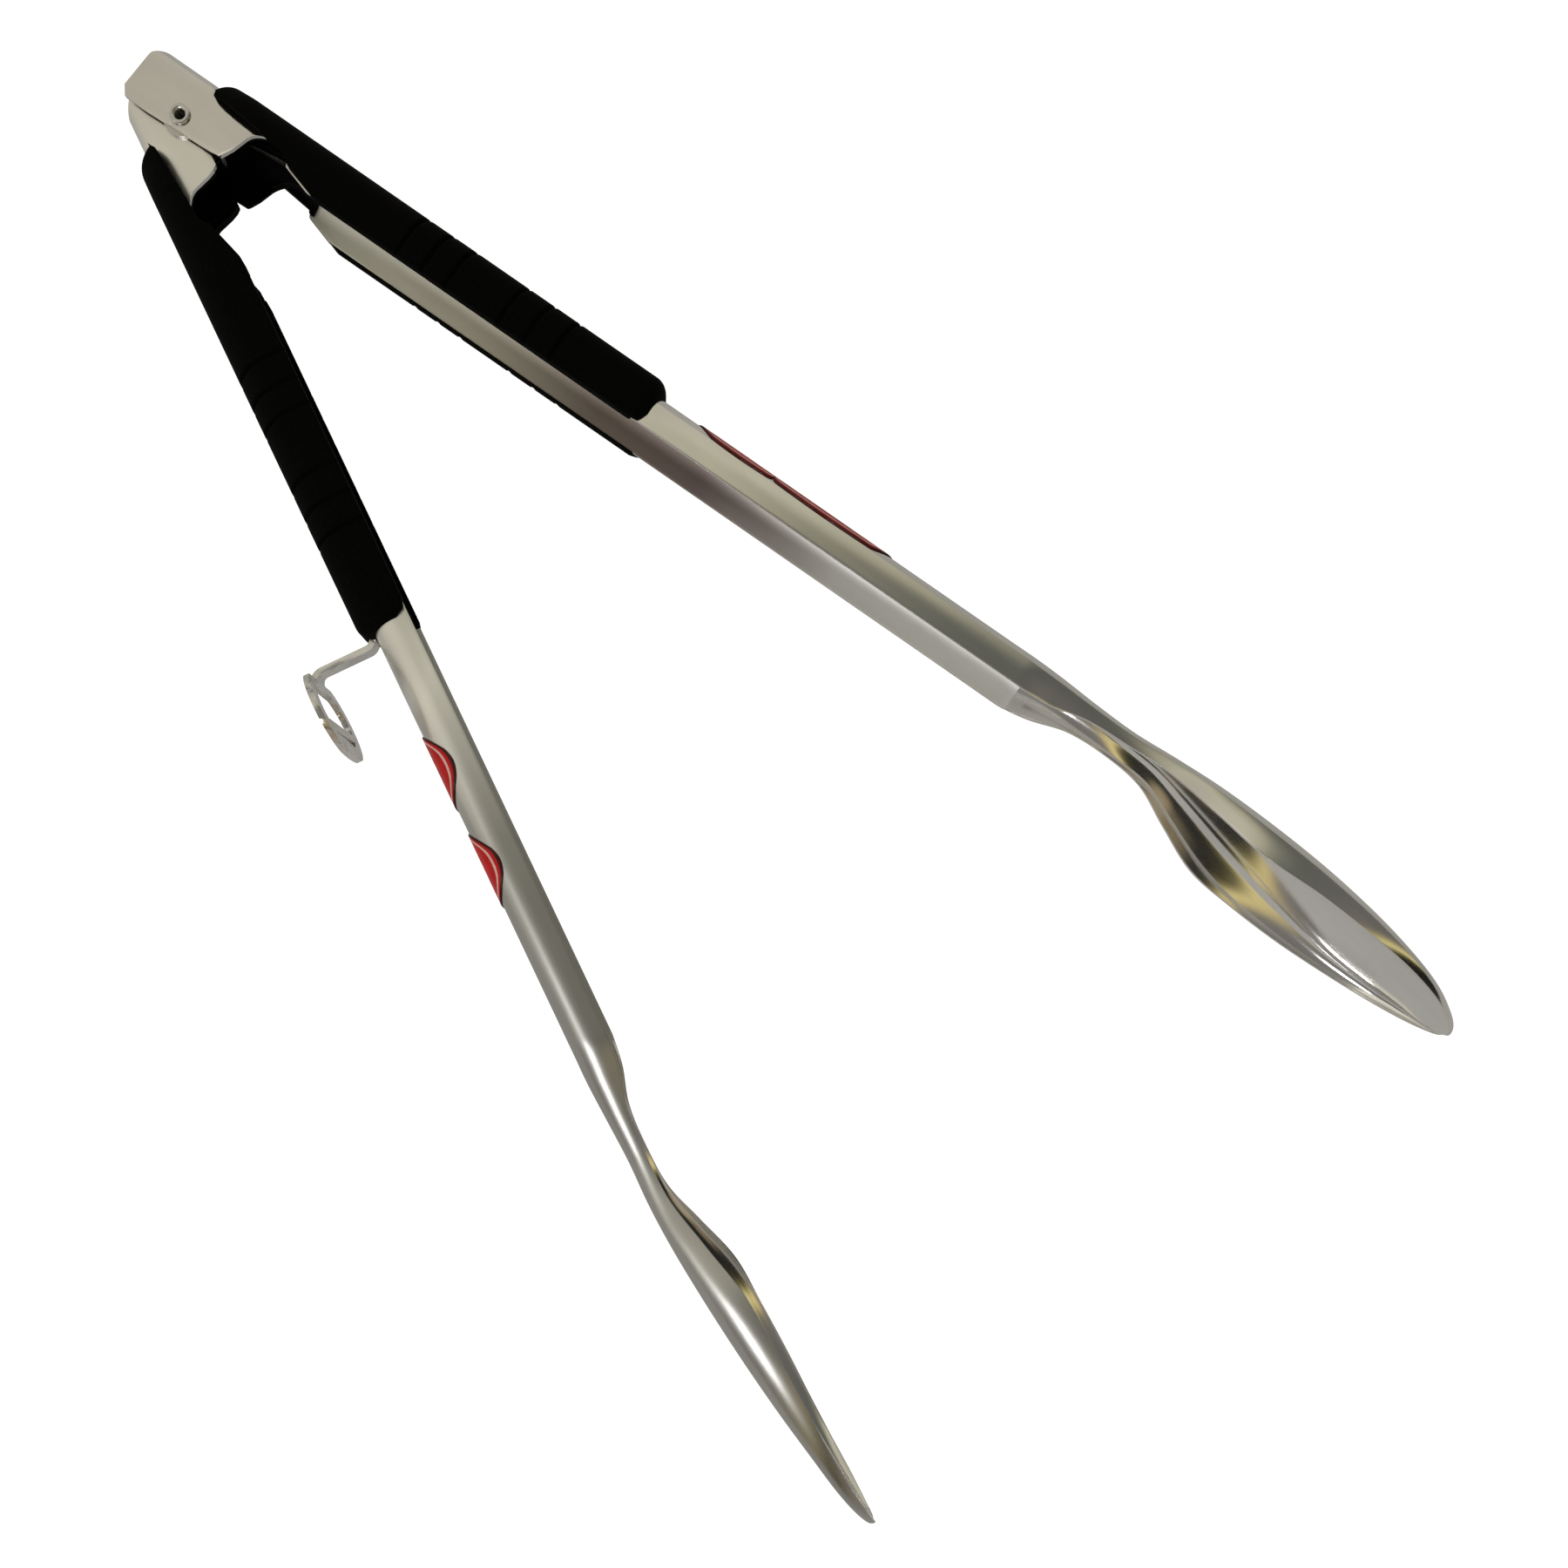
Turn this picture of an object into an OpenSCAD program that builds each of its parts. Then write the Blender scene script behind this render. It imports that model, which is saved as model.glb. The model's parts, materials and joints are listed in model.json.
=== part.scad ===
// Spring loaded kitchen tongs, lying on one side.
// The hinge axis is Z. The arms open along +X, one towards +Y and one towards -Y.
// Each arm is drawn along X from the hinge, with its back towards +Y, then turned into place.

/* [Arms] */
// Hinge axis to scoop tip, mm
arm_length = 388.8; // [300:0.2:420]
// Sheet thickness of both arms, mm
sheet = 0.9; // [0.6:0.1:1.5]
// Half of the channel's outside width, mm
channel_half = 9.5; // [7:0.5:12]
// Hinge axis to the channel's rim, mm
channel_rim = 1.8; // [0:0.1:4]
// Hinge axis to the channel's back, mm
channel_back = 12.1; // [9:0.1:15]
// Outside bend radius of the channel, mm
channel_bend = 7; // [3:0.5:8]
// Where the channel ends and the scoop begins, mm
channel_end = 250; // [200:1:280]
// Half of the angle between the arms at rest, degrees
open_half = 15; // [5:0.5:25]

/* [Hinge] */
// Half of the inner arm's outside width at the hinge, mm
inner_half = 8; // [6:0.5:9]
// Radius of the hollow rivet's hole, mm
rivet_bore = 1.3; // [0.8:0.1:2]
// Outside radius of the hollow rivet, mm
rivet_r = 2; // [1.5:0.1:3]
// Radius of the rivet's flanges, mm
flange_r = 2.6; // [2.2:0.1:4]
// Thickness of the rivet's flanges, mm
flange_t = 0.6; // [0.3:0.1:1]
// Radial clearance of the turning ears on the rivet, mm
running_gap = 0.05; // [0.01:0.01:0.1]

/* [Spring] */
// Wire radius, mm
wire_r = 0.65; // [0.4:0.05:1]
// Mean radius of the coil, mm
coil_r = 4.7; // [4.4:0.1:6]
// Pitch of the coil, mm
coil_pitch = 1.5; // [1.4:0.05:2]
// Whole turns in the coil
coil_turns = 4; // [2:1:6]
// Where each leg ends along its arm, mm
leg_end = 42; // [25:1:60]

/* [Grips] */
// Half of the grip's outside width, mm
grip_half = 11; // [10:0.5:14]
// Hinge axis to the grip's back, mm
grip_back = 15.7; // [14:0.1:20]
// Where the grip ends along the arm, mm
grip_end = 136; // [100:1:160]
// Where the grip on the arm with the opener ends, mm
lower_grip_end = 134; // [100:1:160]
// Width of each groove, mm
groove_w = 1.3; // [0.8:0.1:2]
// Depth of each groove, mm
groove_d = 0.6; // [0.3:0.1:1]

/* [Discs] */
// Thickness of a disc, mm
disc_t = 0.4; // [0.3:0.1:1.5]
// Half of a lower disc's width across the back, mm
lower_disc_half = 9.6; // [7:0.1:9.7]
// Half of an upper disc's width across the back, mm
upper_disc_half = 8.6; // [7:0.1:9.3]
// Length of a lower disc along the arm, mm
lower_disc_length = 21; // [19:0.5:24]
// Where the lower arm's rear disc starts along the arm, mm
lower_disc_rear_x = 161; // [145:0.5:180]
// Where the lower arm's front disc starts along the arm, mm
lower_disc_front_x = 188; // [183:0.5:220]
// Where the upper arm's rear disc starts along the arm, mm
upper_disc_start = 145.5; // [140:0.5:150]
// Where the upper arm's two discs meet, mm
upper_disc_joint = 170; // [165:0.5:180]
// Where the upper arm's front disc ends along the arm, mm
upper_disc_end = 206.2; // [195:0.1:220]

/* [Bottle opener] */
// Thickness of the strip, mm
strip_t = 1.5; // [0.8:0.1:2]
// Half of the foot's width under the grip, mm
foot_half = 5; // [4:0.5:8]
// Half of the stem's width, mm
stem_half = 2.3; // [2:0.1:5]
// Outer face of the stem along the arm, mm
stem_x = 135.9; // [135.8:0.1:150]
// Hinge axis to the ring plate's outer face, mm
ring_y = 31.6; // [24:0.2:34]
// Half of the ring's length along the arm, mm
ring_r = 11.2; // [10:0.1:15]
// Half of the ring's opening along the arm, mm
ring_hole_r = 7.4; // [6:0.1:10]
// Shift of the ring's end circles from the middle, mm
ring_shift = 3.8; // [0:0.1:5]
// Start of the lifting bar, from the middle of the ring, mm
bar_x = 2.6; // [1:0.1:5]
// Width of the lifting bar, mm
bar_w = 2.2; // [1.5:0.1:3]

/* [Hidden] */
$fn = 48;
// position of the hinge axis, from the middle of the object's footprint
hinge_x = -180.314;
hinge_y = 0;
hinge_z = 21.475;
// small gap between pieces that lie against each other
gap = 0.03;
// how far the lofted sheet starts inside the drawn sheet, and how deep its skin lies there
loft_lap = 4;
loft_inset = 0.15;
// grooves in two groups of three, along the arm
groove_at = [63.6, 70.9, 77.9, 93.6, 101.3, 108.9];
// rivets of the opener, along the arm
opener_rivet_at = [119.5, 128];
// where the inner arm's narrow hinge end ends, and where its full channel starts
inner_narrow_end = 42;
inner_full_start = 56;
// grip outline over the hinge end: start, end of the slanted edge, and edge beside the rim
grip_start = 3;
grip_slant = 26.4;
grip_edge = 1.45;
// where the lower grip's inside gets wider, beside the inner arm's shoulder
grip_step = 41.5;
// distance of the upper discs' round ends past the line where the discs meet
disc_overlap = 5.2;
// thickness of the hinge liners
liner_t = 0.95;
arc_steps = 6;

// Stations of the scoop: along the arm, rim, half-width, back, bend radius
scoop_stations = [
  [250, 1.8, 9.5, 12.1, 7.0],
  [258, 2.8, 8.2, 12.2, 6.4],
  [268, 5.5, 7.1, 11.8, 5.6],
  [280, 6.1, 7.2, 11.2, 5.0],
  [292, 5.5, 9.4, 11.1, 5.4],
  [304, 2.2, 14.1, 10.1, 7.0],
  [319, -1.9, 19.0, 8.1, 8.6],
  [334, -2.8, 21.3, 5.7, 8.0],
  [348.5, -3.6, 21.1, 3.1, 6.2],
  [361, -4.1, 19.2, 0.7, 4.4],
  [372, -4.8, 15.5, -1.1, 3.3],
  [380.5, -5.6, 10.6, -2.7, 2.5],
  [386.3, -6.0, 5.8, -4.3, 1.5],
  [388.8, -6.2, 2.0, -5.2, 0.9]
];

// Slope of column c of table s at row i
function slope(s, i, c) =
  let (a = max(i - 1, 0), b = min(i + 1, len(s) - 1))
  (s[b][c] - s[a][c]) / (s[b][0] - s[a][0]);

// Smooth value of column c at x, between rows i and i + 1
function cubic(s, i, c, x) =
  let (w = s[i + 1][0] - s[i][0], t = (x - s[i][0]) / w)
  (2 * t * t * t - 3 * t * t + 1) * s[i][c]
  + (t * t * t - 2 * t * t + t) * w * slope(s, i, c)
  + (3 * t * t - 2 * t * t * t) * s[i + 1][c]
  + (t * t * t - t * t) * w * slope(s, i + 1, c);

// Row of table s that x lies in
function row(s, x) = max([for (i = [0 : len(s) - 2]) if (s[i][0] <= x) i]);
function smooth(s, x) = [for (c = [1 : 4]) cubic(s, row(s, x), c, x)];

// Points of half of a bent sheet's path, from the rim at +Z to the middle of the back
function half_path(rim, half, back, bend) = concat(
  [[rim, half]],
  [for (i = [0 : arc_steps])
    let (a = 90 * i / arc_steps)
    [back - bend + bend * sin(a), half - bend + bend * cos(a)]]
);

// The whole path, rim to rim
function path(rim, half, back, bend) =
  let (p = half_path(rim, half, back, bend), n = len(p))
  concat(p, [for (i = [n - 1 : -1 : 0]) [p[i][0], -p[i][1]]]);

// Closed ring of points at x: outside path, then inside path back again
function ring(x, p, inset) =
  let (
    t = sheet - inset,
    out = path(p[0], p[1] - inset, p[2] - inset, p[3] - inset),
    depth = max(p[2] - t - p[0], 0.06),
    in = path(p[0], p[1] - t, p[0] + depth, min(max(p[3] - t, 0.05), depth)),
    n = len(in)
  )
  concat([for (q = out) [x, q[0], q[1]]], [for (i = [n - 1 : -1 : 0]) [x, in[i][0], in[i][1]]]);

// Solid through a list of rings
module loft(rings) {
  n = len(rings[0]);
  m = len(rings);
  h = n / 2;
  points = [for (r = rings) each r];
  sides = [for (j = [0 : m - 2], i = [0 : n - 1], k = [0, 1])
    let (a = j * n + i, b = j * n + (i + 1) % n)
    k == 0 ? [a, b, b + n] : [a, b + n, a + n]];
  first = [for (i = [0 : h - 2], k = [0, 1])
    k == 0 ? [i, n - 1 - i, n - 2 - i] : [i, n - 2 - i, i + 1]];
  last = [for (f = first) [for (i = [2 : -1 : 0]) f[i] + (m - 1) * n]];
  polyhedron(points = points, faces = concat(sides, first, last));
}

// Drawn along X, in place of a sketch in the Y and Z plane
module along_x(x0, x1) {
  translate([x0, 0, 0]) rotate([90, 0, 90]) linear_extrude(height = x1 - x0) children();
}

// Solid outline of a channel: y is away from the hinge axis, and the other axis is Z
module channel_block(rim, half, back, bend) {
  translate([rim, -half]) square([back - bend - rim, 2 * half]);
  translate([rim, bend - half]) square([back - rim, 2 * (half - bend)]);
  for (s = [-1, 1]) intersection() {
    translate([back - bend, s * (half - bend)]) circle(r = bend);
    translate([back - bend, -half]) square([bend, 2 * half]);
  }
}

// Open channel of sheet metal, from well inside the hinge axis to its back
module channel_section(half, bend, low) {
  difference() {
    channel_block(low, half, channel_back, bend);
    channel_block(low - 1, half - sheet, channel_back - sheet, bend - sheet);
  }
}

// What is taken off the ear's inner edge: a round bite, then a slope back to the rim
module ear_bite() {
  translate([22.6, 1.9]) circle(r = 6.4);
  polygon([
    [13.9, -2.7], [15.4, 0.4], [16.6, 4.1], [28.6, 4.2],
    [36.5, channel_rim], [60, channel_rim], [60, -9], [13.9, -9]
  ]);
}

// Side view of the outer arm's hinge end
module outer_ear_outline() {
  difference() {
    polygon([
      [-12.2, 13], [-14.7, 9], [-15.6, -2.3], [-14.9, -3.5],
      [-13.1, -4], [13.2, -2.9], [14.5, -1.5], [60, -1.5], [60, 13]
    ]);
    ear_bite();
  }
}

// Side view of the inner arm's hinge end: a shorter tail, which is also the open stop
module inner_ear_outline() {
  difference() {
    polygon([
      [-8.4, 13], [-11.6, 9], [-12.6, 4], [-12.2, 0.6],
      [-10.7, -0.9], [-9, -2.6], [13.2, -2.6], [14.5, -1.5], [60, -1.5], [60, 13]
    ]);
    ear_bite();
  }
}

module through_z(half) {
  translate([0, 0, -half]) linear_extrude(height = 2 * half) children();
}

module outer_hinge_end() {
  intersection() {
    along_x(-16, 60) channel_section(channel_half, channel_bend, -5);
    through_z(12) outer_ear_outline();
  }
}

module inner_hinge_end() {
  intersection() {
    along_x(-16, inner_narrow_end) channel_section(inner_half, channel_bend, -5);
    through_z(12) inner_ear_outline();
  }
}

// Sheet between the inner arm's narrow hinge end and its full channel
module inner_shoulder() {
  x0 = inner_narrow_end;
  x1 = inner_full_start;
  widen = channel_half - inner_half;
  // along the arm, rim below the channel's rim, share of the widening, inset
  stations = [
    [x0 - loft_lap, 0.1, 0, loft_inset],
    [x0, 0.05, 0, loft_inset / 2],
    [x0 + 2, 0, 0.04, 0],
    [x0 + 5, 0, 0.28, 0],
    [x0 + 9, 0, 0.72, 0],
    [x1 - 2, 0, 0.96, 0],
    [x1, 0.05, 1, loft_inset / 2],
    [x1 + loft_lap, 0.1, 1, loft_inset]
  ];
  loft([for (s = stations)
    ring(s[0], [channel_rim + s[1], inner_half + s[2] * widen, channel_back, channel_bend], s[3])]);
}

module straight_channel(x0) {
  along_x(x0, channel_end) difference() {
    channel_block(channel_rim, channel_half, channel_back, channel_bend);
    channel_block(
      channel_rim - 1, channel_half - sheet, channel_back - sheet, channel_bend - sheet);
  }
}

module scoop() {
  lap = [
    ring(channel_end - loft_lap, [channel_rim + 0.1, channel_half, channel_back, channel_bend],
      loft_inset),
    ring(channel_end, [channel_rim + 0.05, channel_half, channel_back, channel_bend],
      loft_inset / 2)
  ];
  steps = [
    253, 256, 260, 264, 268, 273, 278, 283, 288, 293, 298, 303, 308, 314, 320, 326,
    332, 338, 344, 350, 356, 362, 367, 372, 376, 380, 383, 385.5, 387.5, arm_length
  ];
  loft(concat(lap, [for (x = steps) ring(x, smooth(scoop_stations, min(x, arm_length - 0.01)), 0)]));
}

module hinge_bore(r) {
  cylinder(r = r, h = 60, center = true);
}

// Puts a piece drawn along X onto the arm that leans towards +Y
module on_upper() {
  translate([hinge_x, hinge_y, hinge_z]) rotate([0, 0, open_half]) children();
}

// Puts a piece drawn along X onto the arm that leans towards -Y
module on_lower() {
  translate([hinge_x, hinge_y, hinge_z]) mirror([0, 1, 0]) rotate([0, 0, open_half]) children();
}

module upper_arm() {
  color([0.72, 0.71, 0.68]) on_upper() union() {
    difference() {
      outer_hinge_end();
      hinge_bore(rivet_r + running_gap);
    }
    straight_channel(59.5);
    scoop();
  }
}

module lower_arm() {
  color([0.72, 0.71, 0.68]) on_lower() union() {
    difference() {
      inner_hinge_end();
      hinge_bore(rivet_r + gap);
    }
    inner_shoulder();
    difference() {
      straight_channel(inner_full_start);
      for (x = opener_rivet_at) opener_rivet_hole(x);
    }
    scoop();
  }
}

module opener_rivet_hole(x) {
  translate([x, 5, 0]) rotate([-90, 0, 0]) cylinder(r = 1.55, h = 12);
}

// Side view of a grip: slanted edge over the ear, rounded shoulder, rounded end
module grip_outline(end) {
  shoulder = 2.8;
  nose = 4;
  difference() {
    union() {
      polygon([
        [grip_start, 10.2], [5.1, 8.9], [grip_slant, 6.6], [grip_slant + 2.2, 4.7],
        [grip_slant + 6.6, 3.3], [37.2, grip_edge + 0.5], [38.8, grip_edge],
        [end - nose, grip_edge], [end - nose, grip_back],
        [grip_start + shoulder, grip_back], [grip_start, grip_back - shoulder]
      ]);
      translate([grip_start + shoulder, grip_back - shoulder]) circle(r = shoulder);
      translate([end - nose, grip_edge + nose]) square([nose, grip_back - grip_edge - 2 * nose]);
      for (y = [grip_edge + nose, grip_back - nose])
        translate([end - nose, y]) circle(r = nose);
    }
    translate([-10, 0]) square([10 + grip_start, 30]);
  }
}

// Section of a grip, or of the block inside its grooves
module grip_block(cut) {
  channel_block(1, grip_half - cut, grip_back - cut, 8);
}

// Section of the arm inside a grip; the lip below the rim reaches in by the sheet's thickness
module grip_inside(half) {
  channel_block(channel_rim - gap, half + gap, channel_back + gap, channel_bend);
  translate([-1, sheet - half]) square([channel_rim, 2 * (half - sheet)]);
}

module grip(end, half_at_hinge) {
  difference() {
    intersection() {
      along_x(0, end + 1) grip_block(0);
      through_z(14) grip_outline(end);
    }
    along_x(-1, grip_step) grip_inside(half_at_hinge);
    along_x(grip_step - 0.01, end + 2) grip_inside(channel_half);
    for (x = groove_at) along_x(x - groove_w / 2, x + groove_w / 2) difference() {
      translate([0, -20]) square([30, 40]);
      grip_block(groove_d);
    }
  }
}

module upper_grip() {
  color([0.03, 0.03, 0.03]) on_upper() grip(grip_end, channel_half);
}

// The lower grip also has a pocket for the opener's foot and its rivet heads
module lower_grip() {
  color([0.03, 0.03, 0.03]) on_lower() difference() {
    grip(lower_grip_end, inner_half);
    translate([114, channel_back - 0.5, -foot_half - 0.1])
      cube([17.6, strip_t + 0.7, 2 * foot_half + 0.2]);
    translate([131, channel_back - 0.5, -stem_half - 0.1])
      cube([10, strip_t + 1.8, 2 * stem_half + 0.2]);
    translate([116, channel_back, -2.6]) cube([15.5, strip_t + 1.3, 5.2]);
  }
}

module liner_section(half, bend, low) {
  difference() {
    channel_block(low, half, channel_back - sheet - gap, bend);
    channel_block(low - 1, half - liner_t, channel_back - sheet - gap - liner_t, bend - liner_t);
  }
}

module upper_hinge_liner() {
  color([0.02, 0.02, 0.02]) on_upper() difference() {
    intersection() {
      along_x(10, 29.5) liner_section(channel_half - sheet - gap, channel_bend - sheet, 0);
      through_z(12) difference() {
        translate([10, 4.8]) square([19.5, 10]);
        translate([22.6, 1.9]) circle(r = 6.5);
      }
    }
  }
}

module lower_hinge_liner() {
  color([0.02, 0.02, 0.02]) on_lower() difference() {
    intersection() {
      along_x(-14, inner_narrow_end - loft_lap - 0.5)
        liner_section(inner_half - sheet - gap, channel_bend - sheet, -5);
      through_z(12) difference() {
        intersection() {
          inner_ear_outline();
          translate([-11, -2.2]) square([60, 14]);
        }
        translate([22.6, 1.9]) circle(r = 6.5);
      }
    }
    hinge_bore(3.75);
  }
}

module pivot_rivet() {
  half = channel_half + gap + flange_t;
  color([0.75, 0.75, 0.74]) translate([hinge_x, hinge_y, hinge_z]) difference() {
    union() {
      cylinder(r = rivet_r, h = 2 * half, center = true);
      for (s = [-1, 1]) translate([0, 0, s * (half - flange_t / 2)])
        cylinder(r = flange_r, h = flange_t, center = true);
    }
    cylinder(r = rivet_bore, h = 2 * half + 1, center = true);
  }
}

module spring_sleeve() {
  length = 2 * (inner_half - sheet) - 0.1;
  color([0.05, 0.05, 0.05]) translate([hinge_x, hinge_y, hinge_z]) difference() {
    cylinder(r = 3.7, h = length, center = true);
    cylinder(r = rivet_r + gap, h = length + 1, center = true);
  }
}

module shim_washer(side) {
  // the washer fills the space between the inner and the outer ear, less a little play
  space = channel_half - sheet - inner_half;
  color([0.6, 0.6, 0.58])
    translate([hinge_x, hinge_y, hinge_z + side * (inner_half + space / 2)]) difference() {
      cylinder(r = 4.6, h = space - 2 * gap, center = true);
      cylinder(r = rivet_r + gap, h = 2, center = true);
    }
}

module shim_washer_near() {
  shim_washer(1);
}

module shim_washer_far() {
  shim_washer(-1);
}

// Wire path in the hinge frame: leg on the lower arm, coil, leg on the upper arm
function spring_path() =
  let (
    leg_y = channel_back - sheet - gap - liner_t - wire_r - 0.2,
    up = [leg_end * cos(open_half) - leg_y * sin(open_half),
      leg_end * sin(open_half) + leg_y * cos(open_half)],
    a1 = atan2(up[1], up[0]) + acos(coil_r / norm(up)),
    a0 = -a1,
    sweep = a1 - a0 + 360 * coil_turns,
    height = coil_pitch * sweep / 360,
    steps = 18 * (coil_turns + 1)
  )
  concat(
    [[up[0], -up[1], -height / 2]],
    [for (i = [0 : steps])
      let (a = a0 + sweep * i / steps)
      [coil_r * cos(a), coil_r * sin(a), height * (i / steps - 0.5)]],
    [[up[0], up[1], height / 2]]
  );

// Wire of round section along a path that turns about Z
module wire(path_points, r) {
  n = 10;
  last = len(path_points) - 1;
  rings = [for (i = [0 : last])
    let (
      d = path_points[min(i + 1, last)] - path_points[max(i - 1, 0)],
      t = d / norm(d),
      s = [t[1], -t[0], 0] / norm([t[0], t[1]]),
      b = cross(t, s)
    )
    [for (k = [0 : n - 1])
      path_points[i] + r * (cos(360 * k / n) * s + sin(360 * k / n) * b)]];
  points = [for (q = rings) each q];
  sides = [for (j = [0 : last - 1], k = [0 : n - 1], h = [0, 1])
    let (a = j * n + k, c = j * n + (k + 1) % n)
    h == 0 ? [a, c + n, c] : [a, a + n, c + n]];
  first = [for (k = [n - 1 : -1 : 0]) n - 1 - k];
  end = [for (k = [0 : n - 1]) last * n + n - 1 - k];
  polyhedron(points = points, faces = concat(sides, [first], [end]));
}

module torsion_spring() {
  color([0.08, 0.08, 0.08]) translate([hinge_x, hinge_y, hinge_z]) wire(spring_path(), wire_r);
}

// A rounded disc that is wrapped over the arm's back, from x0 to x1 along the arm
module disc(x0, x1, half) {
  difference() {
    intersection() {
      along_x(x0, x1)
        channel_block(0, channel_half + gap + disc_t, channel_back + gap + disc_t,
          channel_bend + disc_t);
      union() {
        for (x = [x0 + half, x1 - half]) translate([x, 5, 0]) rotate([-90, 0, 0])
          cylinder(r = half, h = 20, $fn = 96);
        translate([x0 + half, 5, -half]) cube([x1 - x0 - 2 * half, 20, 2 * half]);
      }
    }
    along_x(x0 - 1, x1 + 1)
      channel_block(-1, channel_half + gap, channel_back + gap, channel_bend);
  }
}

module upper_disc_rear() {
  color([0.72, 0.05, 0.04]) on_upper() intersection() {
    disc(upper_disc_start, upper_disc_joint + disc_overlap, upper_disc_half);
    along_x(upper_disc_start - 1, upper_disc_joint - 0.1) translate([0, -15]) square(30);
  }
}

module upper_disc_front() {
  color([0.72, 0.05, 0.04]) on_upper() intersection() {
    disc(upper_disc_joint - disc_overlap, upper_disc_end, upper_disc_half);
    along_x(upper_disc_joint + 0.1, upper_disc_end + 1) translate([0, -15]) square(30);
  }
}

module lower_disc_rear() {
  color([0.72, 0.05, 0.04]) on_lower()
    disc(lower_disc_rear_x, lower_disc_rear_x + lower_disc_length, lower_disc_half);
}

module lower_disc_front() {
  color([0.72, 0.05, 0.04]) on_lower()
    disc(lower_disc_front_x, lower_disc_front_x + lower_disc_length, lower_disc_half);
}

// Quarter of a bent strip, with its axis along Z
module strip_bend(x, y, inner, turn) {
  translate([x, y, 0]) rotate([0, 0, turn]) intersection() {
    difference() {
      cylinder(r = inner + strip_t, h = 2 * stem_half, center = true);
      cylinder(r = inner, h = 2 * stem_half + 1, center = true);
    }
    translate([0, 0, -20]) cube([20, 20, 40]);
  }
}

module ring_outline(r) {
  for (s = [-1, 1]) translate([0, s * ring_shift]) circle(r = r);
  square([2 * r, 2 * ring_shift], center = true);
}

// Foot on the arm's back, stem away from it, and the ring plate beside the arm
module bottle_opener() {
  bend = 2;
  foot_y = channel_back + gap;
  ring_in = ring_y - strip_t;
  ring_x = stem_x + ring_r - 0.2;
  color([0.78, 0.78, 0.76]) on_lower() difference() {
    union() {
      translate([115, foot_y, -foot_half]) cube([16.5, strip_t, 2 * foot_half]);
      translate([131, foot_y, -stem_half])
        cube([stem_x - strip_t - bend - 131, strip_t, 2 * stem_half]);
      strip_bend(stem_x - strip_t - bend, foot_y + strip_t + bend, bend, -90);
      translate([stem_x - strip_t, foot_y + strip_t + bend, -stem_half])
        cube([strip_t, ring_in - bend - foot_y - strip_t - bend, 2 * stem_half]);
      strip_bend(stem_x + bend, ring_in - bend, bend, 90);
      translate([stem_x + bend, ring_in, -stem_half]) cube([4, strip_t, 2 * stem_half]);
      translate([ring_x, ring_y, 0]) rotate([90, 0, 0]) linear_extrude(height = strip_t)
        difference() {
          ring_outline(ring_r);
          ring_outline(ring_hole_r);
          translate([-20 - ring_r + 1.3, -20]) square([20, 40]);
        }
      translate([ring_x + bar_x, ring_in, -ring_hole_r - ring_shift])
        cube([bar_w, strip_t, 2 * (ring_hole_r + ring_shift)]);
    }
    for (x = opener_rivet_at) opener_rivet_hole(x);
  }
}

module opener_rivets() {
  inside = channel_back - sheet - gap;
  outside = channel_back + gap + strip_t + gap;
  color([0.7, 0.7, 0.68]) on_lower() for (x = opener_rivet_at) {
    translate([x, inside, 0]) rotate([-90, 0, 0]) cylinder(r = 1.5, h = outside - inside);
    translate([x, inside - 0.9, 0]) rotate([-90, 0, 0]) cylinder(r = 2.4, h = 0.9);
    translate([x, outside, 0]) rotate([-90, 0, 0]) cylinder(r = 2.4, h = 1);
  }
}

upper_arm();
lower_arm();
upper_grip();
lower_grip();
upper_hinge_liner();
lower_hinge_liner();
pivot_rivet();
spring_sleeve();
shim_washer_near();
shim_washer_far();
torsion_spring();
upper_disc_rear();
upper_disc_front();
lower_disc_rear();
lower_disc_front();
bottle_opener();
opener_rivets();
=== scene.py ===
import json
import math

import bmesh
import bpy
from mathutils import Matrix, Vector


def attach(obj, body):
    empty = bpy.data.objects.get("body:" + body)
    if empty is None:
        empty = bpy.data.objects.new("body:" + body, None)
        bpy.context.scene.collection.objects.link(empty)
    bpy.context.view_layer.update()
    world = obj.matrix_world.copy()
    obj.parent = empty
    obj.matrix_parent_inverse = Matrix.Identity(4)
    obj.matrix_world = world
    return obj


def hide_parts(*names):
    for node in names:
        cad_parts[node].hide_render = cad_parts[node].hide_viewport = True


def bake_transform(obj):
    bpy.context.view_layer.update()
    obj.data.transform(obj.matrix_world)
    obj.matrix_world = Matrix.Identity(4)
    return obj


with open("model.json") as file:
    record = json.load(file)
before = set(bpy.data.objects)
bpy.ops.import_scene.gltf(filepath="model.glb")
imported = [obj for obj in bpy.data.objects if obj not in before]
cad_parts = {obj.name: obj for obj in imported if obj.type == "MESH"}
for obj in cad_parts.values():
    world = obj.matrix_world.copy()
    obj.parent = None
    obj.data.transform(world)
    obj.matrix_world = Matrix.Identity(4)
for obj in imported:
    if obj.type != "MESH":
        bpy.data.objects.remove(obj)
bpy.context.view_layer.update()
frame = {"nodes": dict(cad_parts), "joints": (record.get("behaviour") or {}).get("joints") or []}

MM = 0.001
HINGE = Vector(frame["joints"][0]["pos_m"])
OPEN_HALF = math.radians(15)  # half of the angle between the arms at rest
UPPER, LOWER = 1, -1
BODY = {UPPER: "upper_jaw", LOWER: "lower_jaw"}
SIDE_NAME = {UPPER: "upper", LOWER: "lower"}

# Arm section, in millimetres from the hinge axis, as in the CAD
SHEET = 0.9
CH_RIM, CH_HALF, CH_BACK, CH_BEND = 1.8, 9.5, 12.1, 7.0  # free edge, half-width, back, bend
INNER_HALF = 8.0  # half-width of the lower arm between the upper arm's ears
SCOOP_START = 250.0
ARM_END = 388.8
FIT = 0.03  # gap between pieces that touch


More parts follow.
